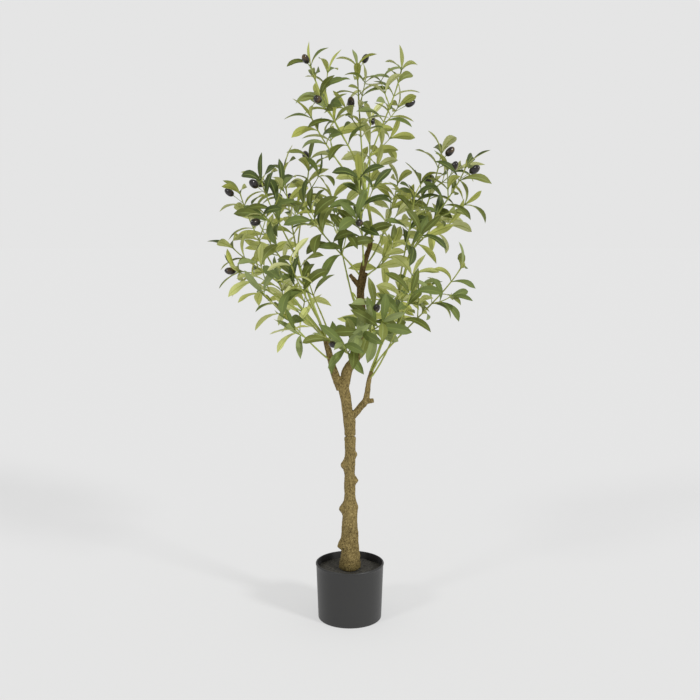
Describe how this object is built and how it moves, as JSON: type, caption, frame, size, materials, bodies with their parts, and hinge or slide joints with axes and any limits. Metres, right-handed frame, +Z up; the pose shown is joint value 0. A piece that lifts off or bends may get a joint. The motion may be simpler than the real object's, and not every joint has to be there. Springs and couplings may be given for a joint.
{
  "type": "artificial potted olive tree",
  "caption": "Artificial olive tree in a small round pot: a moulded trunk forks into boughs that carry airy sprays of slender leaves and dark olives.",
  "frame": {"origin": "middle of the pot's flat underside", "axes": "+Z up along the trunk; -Y is the front, the side that the picture shows; +X is to the right as seen from the front"},
  "size_m": [0.5995, 0.4628, 1.2055],
  "materials": {
    "pot": "satin black",
    "fill": "rough and dark",
    "bark": "moulded bark, matt",
    "stem": "matt yellow green",
    "leaves": "matt green with paler undersides"
  },
  "bodies": {
    "root": {"pot": "pot", "fill": "fill", "lower_trunk": "bark", "upper_trunk": "bark", "left_bough": "bark", "centre_bough": "bark", "side_bough": "bark", "top_stem": "stem", "right_stem": "stem", "left_outer_stem": "stem", "left_inner_stem": "stem", "back_stem": "stem", "crown_left": "leaves", "crown_low_left": "leaves", "crown_middle": "leaves", "crown_right": "leaves", "crown_back": "leaves", "inner_right": "leaves", "inner_back": "leaves", "back_right": "leaves", "right_outer_upper": "leaves", "right_inner_upper": "leaves", "right_back": "leaves", "right_front_mid": "leaves", "right_outer_low": "leaves", "right_inner_low": "leaves", "right_front_low": "leaves", "right_back_low": "leaves", "front_left": "leaves", "front_right": "leaves", "left_low_front": "leaves", "left_low_outer": "leaves", "left_low_back": "leaves", "left_front": "leaves", "left_outer_mid": "leaves", "left_outer_upper": "leaves", "left_back_upper": "leaves", "left_upper": "leaves", "left_inner_upper": "leaves", "inner_high": "leaves", "inner_left": "leaves", "centre_upper_left": "leaves", "centre_front": "leaves", "centre_back": "leaves", "low_back": "leaves"}
  },
  "joints": []
}
